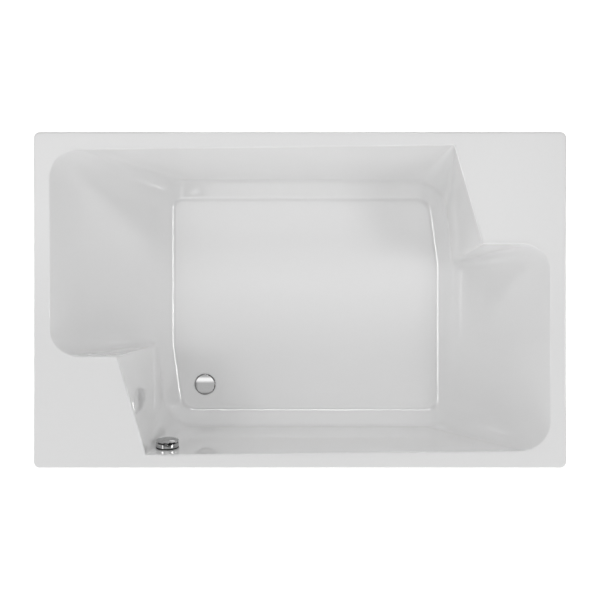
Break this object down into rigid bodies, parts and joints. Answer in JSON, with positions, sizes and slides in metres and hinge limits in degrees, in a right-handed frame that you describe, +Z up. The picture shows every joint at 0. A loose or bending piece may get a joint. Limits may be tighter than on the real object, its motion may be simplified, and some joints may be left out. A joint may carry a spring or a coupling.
{
  "type": "rectangular bathtub",
  "caption": "Rectangular drop-in bathtub for two with a Z-shaped basin, opposed backrests, foot frame, lever-lifted pop-up plug and rotary overflow knob.",
  "frame": {"origin": "on the floor under the middle of the rim", "axes": "+X along the length to the right, +Y to the back, +Z up"},
  "size_m": [1.9, 1.2, 0.6],
  "materials": {
    "acrylic": "glossy white sanitary acrylic, vacuum drawn",
    "laminate": "sprayed and rolled glass-fibre polyester",
    "chipboard": "pressed chipboard",
    "batten_wood": "sawn softwood",
    "galvanised_steel": "hot-dip galvanised sheet",
    "zinc_steel": "bright zinc plate",
    "stainless_steel": "turned stainless steel",
    "chrome": "polished chrome plate",
    "stem_brass": "turned brass",
    "black_plastic": "moulded black polypropylene",
    "seal_rubber": "moulded rubber",
    "waste_plastic": "moulded light grey polypropylene",
    "nut_plastic": "moulded dark grey polypropylene",
    "cable_sheath": "extruded sheath"
  },
  "bodies": {
    "tub": {"tub_shell": "acrylic", "glass_fibre_backing": "laminate", "base_board": "chipboard", "front_rim_batten": "batten_wood", "back_rim_batten": "batten_wood", "left_rim_batten": "batten_wood", "right_rim_batten": "batten_wood", "left_deck_board": "chipboard", "right_deck_board": "chipboard", "left_rail": "galvanised_steel", "middle_rail": "galvanised_steel", "right_rail": "galvanised_steel", "rail_screws": "zinc_steel", "weld_nuts": "zinc_steel", "lock_nuts": "zinc_steel", "drain_flange": "chrome", "drain_top_seal": "seal_rubber", "drain_bottom_seal": "seal_rubber", "drain_body": "waste_plastic", "lever_pin": "stainless_steel", "overflow_body": "waste_plastic", "overflow_gasket": "seal_rubber", "overflow_flange": "black_plastic", "overflow_screws": "stainless_steel", "rosette_seal": "seal_rubber", "overflow_rosette": "chrome", "overflow_pipe": "waste_plastic", "upper_pipe_nut": "nut_plastic", "lower_pipe_nut": "nut_plastic", "actuator_cable": "cable_sheath", "trap_nut": "nut_plastic", "trap_bend": "waste_plastic", "outlet_nut": "nut_plastic", "outlet_pipe": "waste_plastic"},
    "foot_1": {"foot_spindle_1": "zinc_steel", "foot_pad_1": "black_plastic", "foot_sole_1": "seal_rubber"},
    "foot_2": {"foot_spindle_2": "zinc_steel", "foot_pad_2": "black_plastic", "foot_sole_2": "seal_rubber"},
    "foot_3": {"foot_spindle_3": "zinc_steel", "foot_pad_3": "black_plastic", "foot_sole_3": "seal_rubber"},
    "foot_4": {"foot_spindle_4": "zinc_steel", "foot_pad_4": "black_plastic", "foot_sole_4": "seal_rubber"},
    "foot_5": {"foot_spindle_5": "zinc_steel", "foot_pad_5": "black_plastic", "foot_sole_5": "seal_rubber"},
    "foot_6": {"foot_spindle_6": "zinc_steel", "foot_pad_6": "black_plastic", "foot_sole_6": "seal_rubber"},
    "knob": {"overflow_knob": "chrome", "overflow_spindle": "stainless_steel"},
    "plug": {"plug_cap": "chrome", "plug_stem": "stem_brass", "plug_seal": "seal_rubber"},
    "lever": {"lift_lever": "waste_plastic"}
  },
  "joints": [
    {"name": "foot_1_height", "type": "slide", "parent": "tub", "child": "foot_1", "axis": [0, 0, 1], "range_m": [-0.02, 0.009]},
    {"name": "foot_2_height", "type": "slide", "parent": "tub", "child": "foot_2", "axis": [0, 0, 1], "range_m": [-0.02, 0.009]},
    {"name": "foot_3_height", "type": "slide", "parent": "tub", "child": "foot_3", "axis": [0, 0, 1], "range_m": [-0.02, 0.009]},
    {"name": "foot_4_height", "type": "slide", "parent": "tub", "child": "foot_4", "axis": [0, 0, 1], "range_m": [-0.02, 0.009]},
    {"name": "foot_5_height", "type": "slide", "parent": "tub", "child": "foot_5", "axis": [0, 0, 1], "range_m": [-0.02, 0.009]},
    {"name": "foot_6_height", "type": "slide", "parent": "tub", "child": "foot_6", "axis": [0, 0, 1], "range_m": [-0.02, 0.009]},
    {"name": "knob_turn", "type": "hinge", "parent": "tub", "child": "knob", "pos_m": [-0.481, -0.53433, 0.505], "axis": [-0.0094, 0.9841, 0.1775], "range_deg": [0, 90]},
    {"name": "plug_lift", "type": "slide", "parent": "tub", "child": "plug", "axis": [0, 0, 1], "range_m": [0, 0.0099]},
    {"name": "lever_swing", "type": "hinge", "parent": "tub", "child": "lever", "pos_m": [-0.37675, -0.31207, 0.117], "axis": [-0.8192, -0.5736, 0], "range_deg": [0, 28]}
  ],
  "couplings": [
    {"joint": "plug_lift", "follows": "knob_turn", "m_per_rad": 0.006302},
    {"joint": "lever_swing", "follows": "knob_turn", "ratio": 0.3111}
  ]
}
